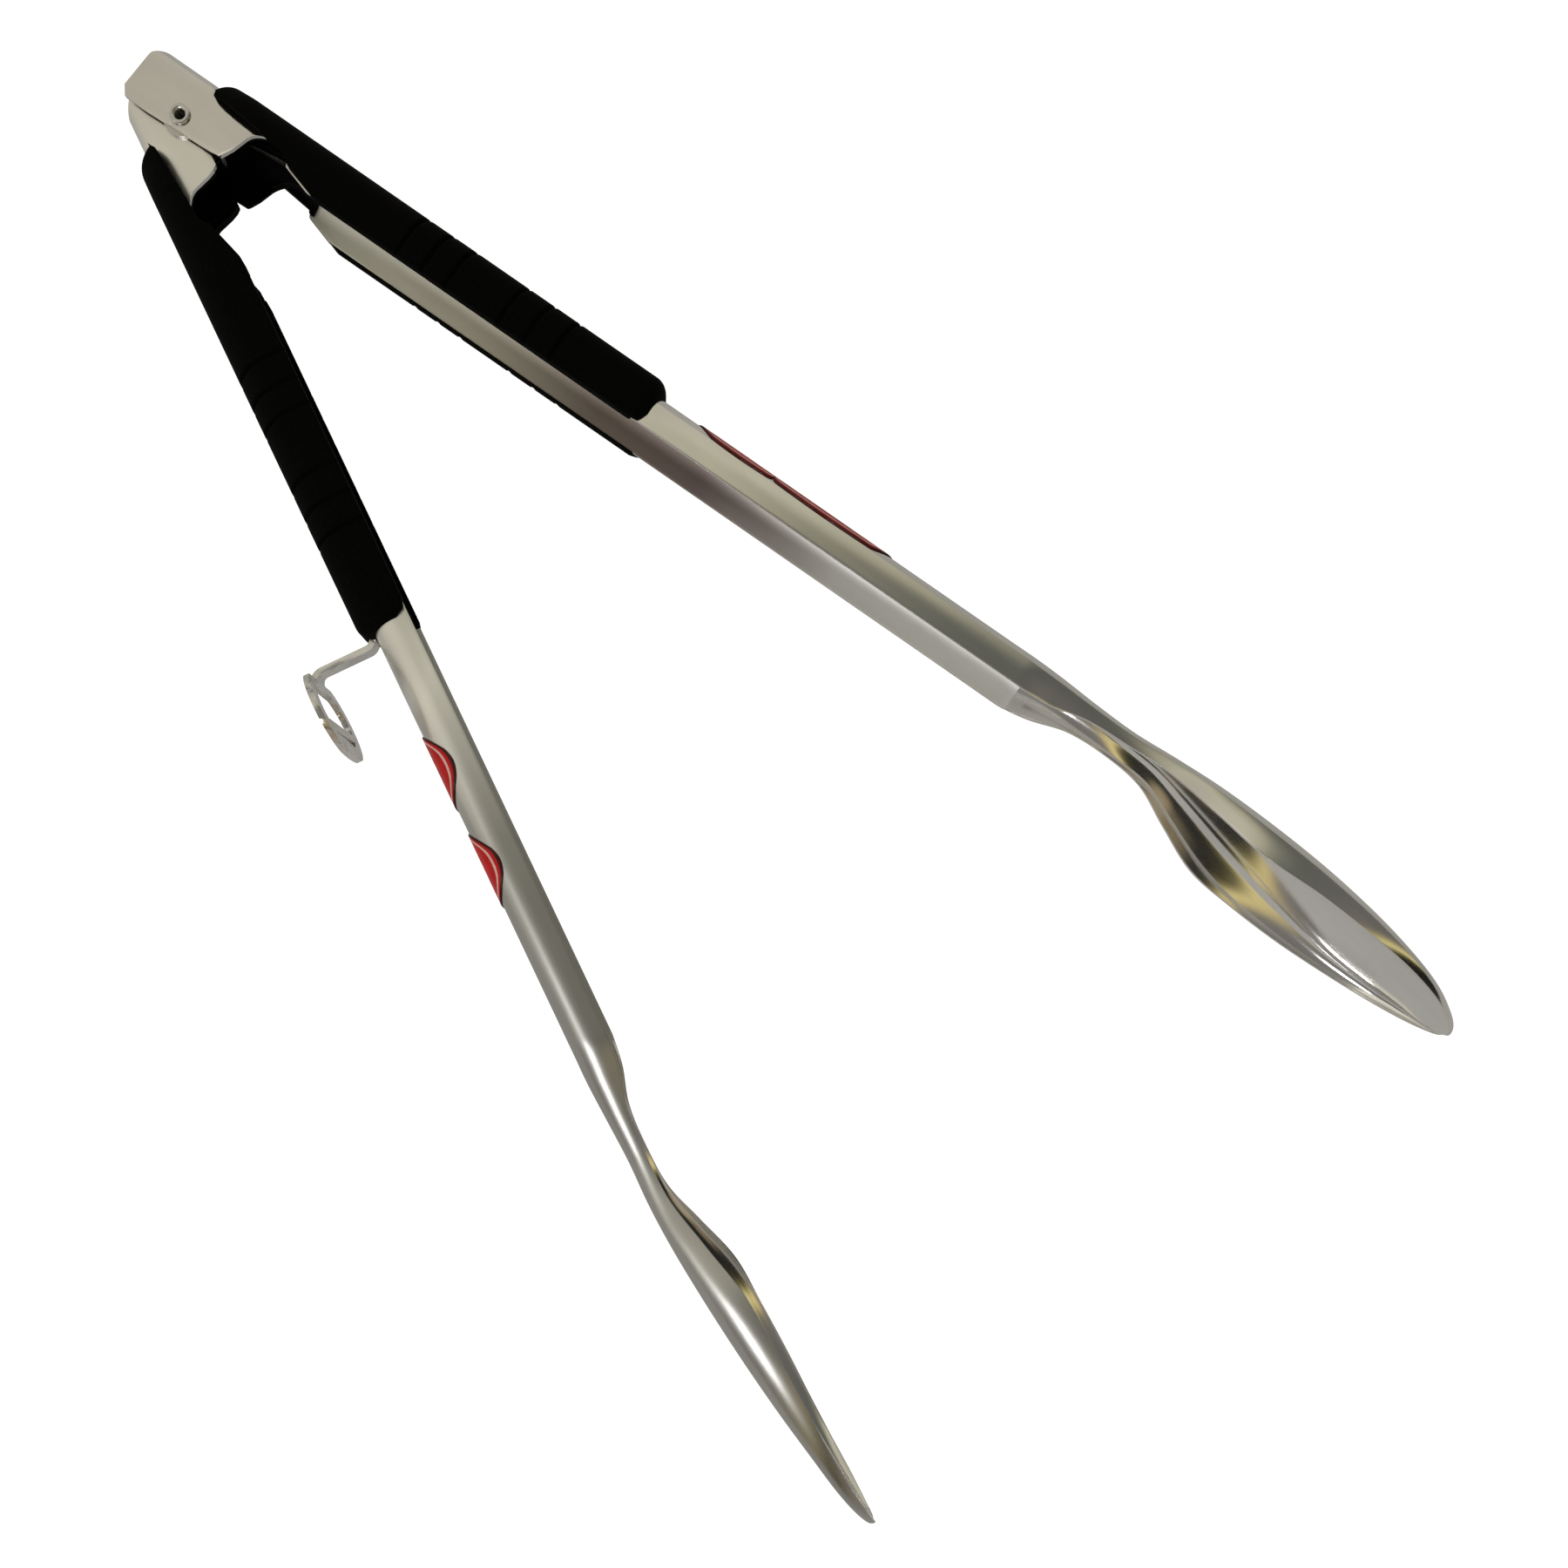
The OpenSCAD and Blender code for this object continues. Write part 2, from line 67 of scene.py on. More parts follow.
# ---------------------------------------------------------------- tables and curves

def smoothstep(a, b, x):
    """Smooth rise from 0 at a to 1 at b."""
    t = min(max((x - a) / (b - a), 0.0), 1.0)
    return t * t * (3 - 2 * t)


def cubic_table(table, column, x):
    """Smooth value of a column of a table of stations at x."""
    n = len(table)
    i = 0
    while i < n - 2 and table[i + 1][0] <= x:
        i += 1

    def slope(k):
        a, b = max(k - 1, 0), min(k + 1, n - 1)
        return (table[b][column] - table[a][column]) / (table[b][0] - table[a][0])

    w = table[i + 1][0] - table[i][0]
    t = min(max((x - table[i][0]) / w, 0.0), 1.0)
    return ((2 * t**3 - 3 * t**2 + 1) * table[i][column]
            + (t**3 - 2 * t**2 + t) * w * slope(i)
            + (3 * t**2 - 2 * t**3) * table[i + 1][column]
            + (t**3 - t**2) * w * slope(i + 1))


def linear_table(points, x):
    """Value at x of a polyline given as (x, y) points with rising x."""
    if x <= points[0][0]:
        return points[0][1]
    for (x0, y0), (x1, y1) in zip(points, points[1:]):
        if x <= x1:
            return y0 + (y1 - y0) * (x - x0) / (x1 - x0)
    return points[-1][1]


def spread(a, b, step):
    """Even places from a up to, but without, b, at most step apart."""
    n = max(int(math.ceil((b - a) / step)), 1)
    return [a + (b - a) * i / n for i in range(n)]


def stations(ranges):
    """Places along the arm for a list of (from, to, step)."""
    return [x for a, b, step in ranges for x in spread(a, b, step)]


# ---------------------------------------------------------------- materials

def new_material(name):
    """A material, its node tree and its shader."""
    m = bpy.data.materials.new(name)
    m.use_nodes = True
    return m, m.node_tree, m.node_tree.nodes["Principled BSDF"]


def node(tree, kind, **settings):
    n = tree.nodes.new(kind)
    for key, value in settings.items():
        setattr(n, key, value)
    return n


def arm_coordinates(tree, turn, stretch=(1, 1, 1)):
    """The piece's own coordinates, turned to run along an arm and multiplied by stretch."""
    coord = node(tree, "ShaderNodeTexCoord")
    mapping = node(tree, "ShaderNodeMapping", vector_type="TEXTURE")
    mapping.inputs["Rotation"].default_value = (0, 0, turn)
    mapping.inputs["Scale"].default_value = [1 / v for v in stretch]
    tree.links.new(coord.outputs["Object"], mapping.inputs["Vector"])
    return mapping.outputs["Vector"]


def noise(tree, size, detail, turn=0.0, stretch=(1, 1, 1)):
    """Noise over the piece's own coordinates."""
    n = node(tree, "ShaderNodeTexNoise")
    n.inputs["Scale"].default_value = size
    n.inputs["Detail"].default_value = detail
    n.inputs["Roughness"].default_value = 0.55
    tree.links.new(arm_coordinates(tree, turn, stretch), n.inputs["Vector"])
    return n.outputs["Fac"]


def ramp(tree, source, stops):
    """A colour ramp over source, with stops as (position, colour)."""
    r = node(tree, "ShaderNodeValToRGB")
    r.color_ramp.elements[0].position, r.color_ramp.elements[0].color = stops[0]
    r.color_ramp.elements[1].position, r.color_ramp.elements[1].color = stops[-1]
    for position, color in stops[1:-1]:
        e = r.color_ramp.elements.new(position)
        e.color = color
    tree.links.new(source, r.inputs["Fac"])
    return r.outputs["Color"]


def span(tree, source, low, high, start=0.0, end=1.0):
    """Source from start to end as a number from low to high."""
    r = node(tree, "ShaderNodeMapRange")
    for key, value in (("From Min", start), ("From Max", end), ("To Min", low), ("To Max", high)):
        r.inputs[key].default_value = value
    tree.links.new(source, r.inputs["Value"])
    return r.outputs["Result"]


def grey(v, warm=0.0):
    """A grey of brightness v, turned a little towards yellow by warm."""
    return (v * (1 + warm), v, v * (1 - warm * 1.5), 1.0)


def finish_surface(tree, shader, source, rough, strength, height):
    """Roughness and a slight bump, height in millimetres, that follow one fine noise."""
    tree.links.new(span(tree, source, *rough), shader.inputs["Roughness"])
    bump = node(tree, "ShaderNodeBump")
    bump.inputs["Strength"].default_value = strength
    bump.inputs["Distance"].default_value = height * MM
    tree.links.new(source, bump.inputs["Height"])
    tree.links.new(bump.outputs["Normal"], shader.inputs["Normal"])


def along_arm(tree, turn, start, end):
    """0 before start and 1 after end, in millimetres along an arm from the hinge."""
    split = node(tree, "ShaderNodeSeparateXYZ")
    tree.links.new(arm_coordinates(tree, turn), split.inputs["Vector"])
    return span(tree, split.outputs["X"], 0.0, 1.0, start * MM, end * MM)


def mix_colors(tree, factor, a, b, blend="MIX"):
    """Mix node whose factor, a and b are each a socket or a value."""
    mix = node(tree, "ShaderNodeMix", data_type="RGBA", blend_type=blend)
    for key, value in (("Factor", factor), ("A", a), ("B", b)):
        if isinstance(value, bpy.types.NodeSocket):
            tree.links.new(value, mix.inputs[key])
        else:
            mix.inputs[key].default_value = value
    return mix.outputs["Result"]


def steel(name, side, tones, warm, rough, smudge=0.0, painted_shade=None):
    """Satin pressed steel with a grain along the arm and faint cloudy handling marks.

    The last argument, when given, is (start, end, stops): painted shade, a colour ramp along
    that stretch of the arm, in millimetres from the hinge, that the steel's own colour is
    multiplied by.
    """
    turn = side * OPEN_HALF
    m, tree, shader = new_material(name)
    shader.inputs["Metallic"].default_value = 1.0
    shader.inputs["Anisotropic"].default_value = 0.35
    dark, light = tones
    clouds = noise(tree, 60.0, 3.0, turn, stretch=(0.35, 1, 1))
    color = ramp(tree, clouds, [(0.3, grey(dark, warm)), (0.72, grey(light, warm))])
    if smudge:
        marks = noise(tree, 38.0, 2.0, turn, stretch=(0.6, 1, 1))
        mask = ramp(tree, marks, [(0.60, grey(0)), (0.78, grey(smudge))])
        color = mix_colors(tree, mask, color, grey(dark * 0.4, warm))
    # painted shade along the arm, multiplied into the steel's colour
    if painted_shade:
        start, end, stops = painted_shade
        shade = ramp(tree, along_arm(tree, turn, start, end), stops)
        color = mix_colors(tree, 1.0, color, shade, "MULTIPLY")
    tree.links.new(color, shader.inputs["Base Color"])
    grain = noise(tree, 2600.0, 2.0, turn, stretch=(0.06, 1, 1))
    finish_surface(tree, shader, grain, rough, 0.07, 0.03)
    return m


def rubber(name):
    """Matte black moulded rubber with a fine grain and a little dust."""
    m, tree, shader = new_material(name)
    shader.inputs["Specular IOR Level"].default_value = 0.03
    grain = noise(tree, 900.0, 4.0)
    color = ramp(tree, grain, [(0.35, grey(0.0012)), (0.8, (0.0035, 0.0035, 0.0034, 1))])
    tree.links.new(color, shader.inputs["Base Color"])
    finish_surface(tree, shader, grain, (0.62, 0.85), 0.25, 0.08)
    return m


def black_plastic(name):
    """Semi-matte black moulding for the liners and the sleeve."""
    m, tree, shader = new_material(name)
    shader.inputs["Specular IOR Level"].default_value = 0.05
    grain = noise(tree, 500.0, 3.0)
    color = ramp(tree, grain, [(0.3, grey(0.0015)), (0.8, grey(0.004))])
    tree.links.new(color, shader.inputs["Base Color"])
    finish_surface(tree, shader, grain, (0.5, 0.75), 0.15, 0.05)
    return m


def spring_wire(name):
    """Black-oxide spring wire with light drawing marks."""
    m, tree, shader = new_material(name)
    shader.inputs["Metallic"].default_value = 1.0
    marks = noise(tree, 1500.0, 3.0)
    color = ramp(tree, marks, [(0.35, (0.02, 0.02, 0.022, 1)), (0.85, (0.09, 0.085, 0.08, 1))])
    tree.links.new(color, shader.inputs["Base Color"])
    finish_surface(tree, shader, marks, (0.3, 0.55), 0.2, 0.03)
    return m


def red_enamel(name, low, high, coat):
    """Glossy enamel with slight mottling under a clear coat."""
    m, tree, shader = new_material(name)
    shader.inputs["Coat Weight"].default_value = coat
    shader.inputs["Coat Roughness"].default_value = 0.12
    shader.inputs["Specular IOR Level"].default_value = 0.15
    mottle = noise(tree, 420.0, 4.0)
    color = ramp(tree, mottle, [(0.3, low), (0.75, high)])
    tree.links.new(color, shader.inputs["Base Color"])
    finish_surface(tree, shader, mottle, (0.28, 0.42), 0.1, 0.05)
    return m


# painted shade: from 150 to 195 mm from the hinge the lower arm's steel is darkened, and it stays
# at 0.56 of its colour on to the scoop
LOWER_PAINTED_SHADE = (150, 195, [(0, (1, 1, 0.97, 1)), (1, (0.56, 0.56, 0.55, 1))])
# painted shade: the upper arm's inside is darkened to a dull mauve most from about 120 to 150 mm
# from the hinge, where the near wall shades it, and is clear again by 195 mm
UPPER_INSIDE_PAINTED_SHADE = (40, 200, [
    (0, (1, 0.98, 0.88, 1)), (0.28, (0.75, 0.72, 0.62, 1)), (0.5, (0.40, 0.34, 0.30, 1)),
    (0.7, (0.38, 0.31, 0.30, 1)), (0.97, (1, 1, 1, 1)),
])
MAT = {
    "upper_arm": steel("upper_steel", UPPER, (0.70, 0.86), 0.03, (0.10, 0.19), smudge=0.3),
    "lower_arm": steel("lower_steel", LOWER, (0.84, 0.96), 0.02, (0.30, 0.40), smudge=0.5,
                       painted_shade=LOWER_PAINTED_SHADE),
    "upper_inside": steel("upper_inside_steel", UPPER, (0.86, 0.96), 0.0, (0.52, 0.60),
                          painted_shade=UPPER_INSIDE_PAINTED_SHADE),
    "lower_inside": steel("lower_inside_steel", LOWER, (0.55, 0.68), 0.0, (0.40, 0.50)),
    "upper_bowl": steel("upper_bowl_steel", UPPER, (0.80, 0.93), 0.015, (0.11, 0.18),
                        smudge=0.3),
    "lower_bowl": steel("lower_bowl_steel", LOWER, (0.74, 0.88), 0.03, (0.10, 0.16),
                        smudge=0.3),
    "opener": steel("opener_steel", LOWER, (0.66, 0.82), 0.02, (0.2, 0.36)),
    "rivet": steel("rivet_steel", UPPER, (0.6, 0.75), 0.02, (0.2, 0.34)),
    "rubber": rubber("grip_rubber"),
    "plastic": black_plastic("liner_plastic"),
    "spring": spring_wire("spring_wire"),
    "red": red_enamel("disc_red", (0.50, 0.003, 0.004, 1), (0.68, 0.006, 0.006, 1), 0.12),
    "rim_line": red_enamel("disc_rim_line", (0.75, 0.42, 0.38, 1), (0.86, 0.6, 0.55, 1), 0.4),
    # painted shade: very dark red for the disc's outer bevel and side
    "disc_edge_painted_shade": red_enamel("disc_edge_painted_shade", (0.05, 0.004, 0.004, 1), (0.09, 0.008, 0.007, 1), 0.2),
}


# ---------------------------------------------------------------- mesh helpers

def make_object(name, verts_mm, faces, side, body, materials, face_materials=None,
                turn=None):
    """A mesh drawn along X from the hinge, with its back towards +Y, put onto an arm."""
    flip = side == LOWER
    rotate = Matrix.Rotation(side * OPEN_HALF if turn is None else turn, 3, "Z")
    verts = [rotate @ Vector((x, -y if flip else y, z)) * MM for x, y, z in verts_mm]
    faces = [tuple(reversed(f)) for f in faces] if flip else [tuple(f) for f in faces]
    mesh = bpy.data.meshes.new(name)
    mesh.from_pydata(verts, [], faces)
    for m in materials:
        mesh.materials.append(m)
    if face_materials:
        mesh.polygons.foreach_set("material_index", face_materials)
    mesh.validate()
    obj = bpy.data.objects.new(name, mesh)
    bpy.context.scene.collection.objects.link(obj)
    obj.matrix_world = Matrix.Translation(HINGE)
    if body:
        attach(obj, body)
    return obj


def apply_modifiers(obj):
    """Keep the evaluated mesh and drop the modifiers."""
    bpy.context.view_layer.update()
    graph = bpy.context.evaluated_depsgraph_get()
    mesh = bpy.data.meshes.new_from_object(obj.evaluated_get(graph))
    old = obj.data
    obj.modifiers.clear()
    obj.data = mesh
    bpy.data.meshes.remove(old)


def smooth_faces(obj, sharp_degrees=50):
    """Smooth shading, with edges over the angle kept sharp."""
    bm = bmesh.new()
    bm.from_mesh(obj.data)
    bmesh.ops.recalc_face_normals(bm, faces=bm.faces)
    limit = math.radians(sharp_degrees)
    for f in bm.faces:
        f.smooth = True
    for e in bm.edges:
        e.smooth = not (len(e.link_faces) == 2 and e.calc_face_angle(0) > limit)
    bm.to_mesh(obj.data)
    bm.free()


def round_edges(obj, width, segments, degrees):
    """Bevel the edges that are sharper than degrees; width is in millimetres."""
    b = obj.modifiers.new("round", "BEVEL")
    b.width = width * MM
    b.segments = segments
    b.limit_method = "ANGLE"
    b.angle_limit = math.radians(degrees)
    b.harden_normals = False
    apply_modifiers(obj)
    smooth_faces(obj)


def cut(obj, cutter, operation="DIFFERENCE"):
    """Boolean with another object, which is then removed."""
    m = obj.modifiers.new("cut", "BOOLEAN")
    m.operation = operation
    m.solver = "EXACT"
    m.object = cutter
    apply_modifiers(obj)
    bpy.data.objects.remove(cutter)


def turned_ring(profile, steps):
    """Verts and faces of a closed profile of (radius, height), turned about the hinge axis."""
    n = len(profile)
    verts, faces = [], []
    for i in range(steps):
        a = 2 * math.pi * i / steps
        verts += [(r * math.cos(a), r * math.sin(a), h) for r, h in profile]
        j = (i + 1) % steps
        for k in range(n):
            after = (k + 1) % n
            faces.append((i * n + k, j * n + k, j * n + after, i * n + after))
    return verts, faces


# ---------------------------------------------------------------- the arms

SCOOP = [  # along the arm, rim, half-width, back, bend radius
    (250, 1.8, 9.5, 12.1, 7.0), (258, 2.8, 8.2, 12.2, 6.4), (268, 5.5, 7.1, 11.8, 5.6),
    (280, 6.1, 7.2, 11.2, 5.0), (292, 5.5, 9.4, 11.1, 5.4), (304, 2.2, 14.1, 10.1, 7.0),
    (319, -1.9, 19.0, 8.1, 8.6), (334, -2.8, 21.3, 5.7, 8.0), (348.5, -3.6, 21.1, 3.1, 6.2),
    (361, -4.1, 19.2, 0.7, 4.4), (372, -4.8, 15.5, -1.1, 3.3), (380.5, -5.6, 10.6, -2.7, 2.5),
    (386.3, -6.0, 5.8, -4.3, 1.5), (388.8, -6.2, 2.0, -5.2, 0.9),
]
NECK_LEAD = [(243, 1.8, 9.5, 12.1, 7.0)]
TAIL = {  # where each ear's tail ends, as (distance from the hinge to the back, along the arm)
    UPPER: [(-4.0, -13.1), (-3.5, -14.9), (-2.3, -15.6), (9.0, -14.7), (12.1, -12.7)],
    LOWER: [(-2.6, -9.0), (-0.9, -10.7), (0.6, -12.2), (4.0, -12.6), (9.0, -11.6), (12.1, -8.8)],
}
EAR_END = 13.3  # the ears' free edge is straight up to here and curved up to FLANK_START
EAR_EDGE = {UPPER: [(-13.1, -4.0), (EAR_END, -2.9)], LOWER: [(-9.0, -2.6), (EAR_END, -2.6)]}
EAR_TURN = 0.35
FLANK_START, FLANK_END = 14.3, 16.9  # the ear's end, beside the bite
FLANK = [(FLANK_START, -1.9), (15.4, 0.4), (16.6, 4.1), (16.7, 4.4)]
BITE_X, BITE_Y, BITE_R = 22.6, 1.9, 6.4  # round cut between the ear and the channel
SLOPE_START, CHANNEL_START = 28.0, 36.5
SLOPE = [(SLOPE_START, 4.5), (28.6, 4.2), (CHANNEL_START, CH_RIM)]
EAR_FULL, EAR_SHARP, EAR_FADES = 0.45, 2.0, (1, 8)  # the ear's back is a little fuller
INNER_WIDENS = (42, 56)  # where the lower arm grows from INNER_HALF to CH_HALF
TIP_ROUND, TIP_HALF, TIP_APEX = 380.5, 10.6, 389.05  # the scoop's end is a parabola from here
LINED_TO = {UPPER: 29.0, LOWER: 134.0}  # the inside is black from the hinge to here
FAR_RIM_LINED_TO = {UPPER: 39.5, LOWER: 134.0}
NEAR_RIM_LINED = (21.0, 39.5)
SATIN_TO = 252.0  # the inside is satin from LINED_TO to here, and polished beyond it
SHEET_AT_RIM, DRAFT_IN, DRAFT_OUT = 0.5, (42, 60), (244, 256)  # the channel's thinner walls
TAIL_START, TAIL_STEPS = -8, 7  # the tail's rows lie between its end and here
ARM_RANGES = [
    (TAIL_START, 13, 1.5), (13, 18, 0.2), (18, 29, 0.45), (29, 37, 0.8), (37, 60, 2.0),
    (60, 246, 6.0), (246, 275, 0.9), (275, 380, 1.5), (380, 388, 0.7), (388, ARM_END, 0.2),
]
WALL_STEPS, ARC_STEPS, WEB_STEPS = 5, 12, 2
CURL = 0.12  # share of the bend given to the wall where the section has no straight wall
BORE_R, BORE_LENGTH = 2.05, 40
OUTSIDE, LINING, INSIDE, BOWL = range(4)  # the arm's materials, by index


def bite_at(x):
    """Edge of the round bite at x; minus infinity beside it, so that it never counts."""
    reach = BITE_R**2 - (x - BITE_X)**2
    return BITE_Y + math.sqrt(reach) if reach > 0 else -math.inf


def rim_at(x, side):
    """Distance from the hinge axis to the sheet's free edge, at x along the arm."""
    if x < EAR_END:
        return linear_table(EAR_EDGE[side], x)
    if x < FLANK_START:
        t = x - EAR_END
        return EAR_EDGE[side][-1][1] + EAR_TURN * t * t * 3
    if x < FLANK_END:
        return max(linear_table(FLANK, x), bite_at(x))
    if x <= SLOPE_START:
        return bite_at(x)
    if x < CHANNEL_START:
        return max(linear_table(SLOPE, x), bite_at(x))
    if x < SCOOP_START:
        return CH_RIM
    return cubic_table(SCOOP, 1, x)


def section_at(x, side):
    """(rim, half-width, back, bend) of the arm at x."""
    rim = rim_at(x, side)
    if x <= NECK_LEAD[0][0]:
        half = CH_HALF
        if side == LOWER:
            half = INNER_HALF + (CH_HALF - INNER_HALF) * smoothstep(*INNER_WIDENS, x)
        ear = 1 - smoothstep(*EAR_FADES, x)
        return rim, half, CH_BACK + EAR_FULL * ear, CH_BEND - EAR_SHARP * ear
    half = cubic_table(NECK_LEAD + SCOOP, 2, x)
    if x > TIP_ROUND:
        half = TIP_HALF * math.sqrt((TIP_APEX - x) / (TIP_APEX - TIP_ROUND))
    return rim, half, cubic_table(SCOOP, 3, x), cubic_table(SCOOP, 4, x)


def half_points(rim, half, back, bend):
    """Points of the sheet's outside from its free edge at +Z to the middle of its back."""
    bend = min(bend, half - 0.02)
    top = back - bend
    pts = []
    if rim < top:
        for i in range(WALL_STEPS):
            pts.append((rim + (top - rim) * i / WALL_STEPS, half))
        start = 0.0
    else:
        start = math.asin(min((rim - top) / bend, 0.999))
        for i in range(WALL_STEPS):
            a = start + (math.pi / 2 - start) * CURL * i / WALL_STEPS
            pts.append((top + bend * math.sin(a), half - bend + bend * math.cos(a)))
        start += (math.pi / 2 - start) * CURL
    for i in range(ARC_STEPS + 1):
        a = start + (math.pi / 2 - start) * i / ARC_STEPS
        pts.append((top + bend * math.sin(a), half - bend + bend * math.cos(a)))
    for i in range(1, WEB_STEPS + 1):
        pts.append((back, (half - bend) * (1 - i / WEB_STEPS)))
    return pts


def mirrored(half):
    """Both halves of an outline, from its half that ends in the middle."""
    return half + [(y, -z) for y, z in reversed(half[:-1])]


def inside_points(x, rim, half, back, bend):
    """The sheet's inside, with the same count of points as its outside."""
    back_in = max(back - SHEET, rim + 0.06)
    bend_in = max(bend - SHEET, 0.05)
    if rim < back - bend:
        bend_in = min(bend_in, back_in - rim)
    pts = mirrored(half_points(rim, max(half - SHEET, 0.1), back_in, bend_in))
    draft = (SHEET - SHEET_AT_RIM) * smoothstep(*DRAFT_IN, x) * (1 - smoothstep(*DRAFT_OUT, x))
    if draft:  # the channel's walls get a little thinner towards their free edge
        top = back_in - bend_in
        pts = [(y, z + math.copysign(draft * max(0.0, (top - y) / (top - rim)), z))
               for y, z in pts]
    return pts


def arm_row(x, side):
    """(y, z) points of the sheet at x: its outside and then its inside."""
    section = section_at(x, side)
    return mirrored(half_points(*section)) + inside_points(x, *section)


def arm_rows(side):
    """Rows of points from the ears' tail to the scoop's tip."""
    rows = []
    for i in range(TAIL_STEPS):
        row = []
        for y, z in arm_row(TAIL_START, side):
            end = linear_table(TAIL[side], y)
            row.append((end + (TAIL_START - end) * (i / TAIL_STEPS), y, z))
        rows.append(row)
    for x in stations(ARM_RANGES) + [ARM_END]:
        rows.append([(x, y, z) for y, z in arm_row(x, side)])
    return rows


def arm(side):
    """One pressed arm: ears, channel, neck and scoop in one sheet."""
    name = SIDE_NAME[side]
    rows = arm_rows(side)
    m = len(rows[0])
    n = m // 2
    verts = [v for row in rows for v in row]
    faces, mats = [], []
    for r in range(len(rows) - 1):
        a, b = r * m, (r + 1) * m
        x = rows[r + 1][n][0]
        inside = LINING if x < LINED_TO[side] else INSIDE if x < SATIN_TO else BOWL
        near_rim = LINING if NEAR_RIM_LINED[0] < x < NEAR_RIM_LINED[1] else OUTSIDE
        far_rim = LINING if x < FAR_RIM_LINED_TO[side] else OUTSIDE
        faces += [(a + n + i, a + n + i + 1, b + n + i + 1, b + n + i) for i in range(n - 1)]
        faces += [(a + i, b + i, b + i + 1, a + i + 1) for i in range(n - 1)]
        faces += [(a, a + n, b + n, b), (a + n - 1, b + n - 1, b + m - 1, a + m - 1)]
        mats += [inside] * (n - 1) + [OUTSIDE] * (n - 1) + [near_rim, far_rim]
    last = (len(rows) - 1) * m
    for i in range(n - 1):
        faces.append((i, i + 1, n + i + 1, n + i))
        faces.append((last + i, last + n + i, last + n + i + 1, last + i + 1))
        mats += [OUTSIDE, OUTSIDE]
    steels = [MAT[name + "_arm"], MAT["plastic"], MAT[name + "_inside"], MAT[name + "_bowl"]]
    obj = make_object(name + "_arm_sheet", verts, faces, side, BODY[side],
                      steels, mats)
    smooth_faces(obj)
    cut(obj, bore_cutter())
    round_edges(obj, width=0.16, segments=2, degrees=55)
    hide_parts(name + "_arm")


def bore_cutter():
    """The rivet's hole, to cut out of an arm."""
    bm = bmesh.new()
    bmesh.ops.create_cone(bm, cap_ends=True, segments=48, radius1=BORE_R * MM,
                          radius2=BORE_R * MM, depth=BORE_LENGTH * MM)
    mesh = bpy.data.meshes.new("bore")
    bm.to_mesh(mesh)
    bm.free()
    obj = bpy.data.objects.new("bore", mesh)
    obj.location = HINGE
    bpy.context.scene.collection.objects.link(obj)
    return obj


# ---------------------------------------------------------------- the grips

GRIP_START, GRIP_END = 3.0, {UPPER: 136.0, LOWER: 134.0}
GRIP_HALF, GRIP_BACK, GRIP_BEND = 11.0, 15.7, 8.0
GRIP_EDGE, GRIP_STEP, SHOULDER = 1.45, 41.5, 2.8
GROOVES = [63.6, 70.9, 77.9, 93.6, 101.3, 108.9]
GROOVE_HALF, GROOVE_DEPTH = 0.75, 0.6
GROOVE_PLACES = (-1.2, -0.8, -0.6, -0.45, -0.25, 0, 0.25, 0.45, 0.6, 0.8, 1.2)
NOSE = 4  # length of the rounded end
HEEL_NARROW, NOSE_NARROW = 0.9, 0.3


def groove_at(x):
    """Depth of the grooves at x."""
    d = min(abs(x - g) for g in GROOVES)
    return GROOVE_DEPTH * (1 - smoothstep(GROOVE_HALF * 0.35, GROOVE_HALF, d))


def grip_edge(x, end):
    """Distance from the hinge axis to the grip's free edge at x."""
    return linear_table([(3, 10.2), (5.1, 8.9), (26.4, 6.6), (28.6, 4.7), (33, 3.3),
                         (37.2, GRIP_EDGE + 0.5), (38.8, GRIP_EDGE), (end - NOSE, GRIP_EDGE),
                         (end - 1.5, 2.1), (end, 5.0)], x)


def grip_rows(x, side):
    """Outside and inside points of the shell at x, with the same count."""
    end = GRIP_END[side]
    g = groove_at(x)
    start = min(max(0.0, (GRIP_START + SHOULDER - x) / SHOULDER), 1.0)
    shoulder = SHOULDER * (1 - math.sqrt(1 - start**2))
    tip = min(max(0.0, (x - (end - NOSE)) / NOSE), 1.0)
    nose = NOSE * (1 - math.sqrt(max(1 - tip**2, 0)))
    edge = grip_edge(x, end)
    heel = 1 - smoothstep(GRIP_START, 12, x)
    half = GRIP_HALF - HEEL_NARROW * heel - NOSE_NARROW * nose - g
    back = GRIP_BACK - shoulder - nose - g
    narrow = side == LOWER and x < GRIP_STEP
    inner = (INNER_HALF if narrow else CH_HALF) + FIT
    rim = max(edge + 0.01, CH_RIM - FIT)
    lip = inner - (SHEET + FIT if edge < CH_RIM - 0.1 else 0.02)
    outside = half_points(edge, half, back, min(GRIP_BEND, half - 1.0))
    outside = [(edge, lip + (half - lip) * t) for t in (0.6, 0.85)] + outside
    inside = [(edge, lip), (rim - 0.005, lip)] + half_points(rim, inner, CH_BACK + FIT, CH_BEND)
    return mirrored(outside), mirrored(inside)


def grip_stations(end):
    """Places along the grip, closer together at its step, its grooves and its ends."""
    xs = stations([(GRIP_START, 7, 0.3), (7, 12, 1.0), (12, 26, 2.0), (26, 36, 0.8),
                   (36, 40, 0.5), (43, end - NOSE, 4.0), (end - NOSE, end, 0.3)])
    xs += [41.4, 41.6, end - 0.02]
    for g in GROOVES:
        xs = [x for x in xs if abs(x - g) > 1.4]
        xs += [g + d for d in GROOVE_PLACES]
    return sorted(xs)


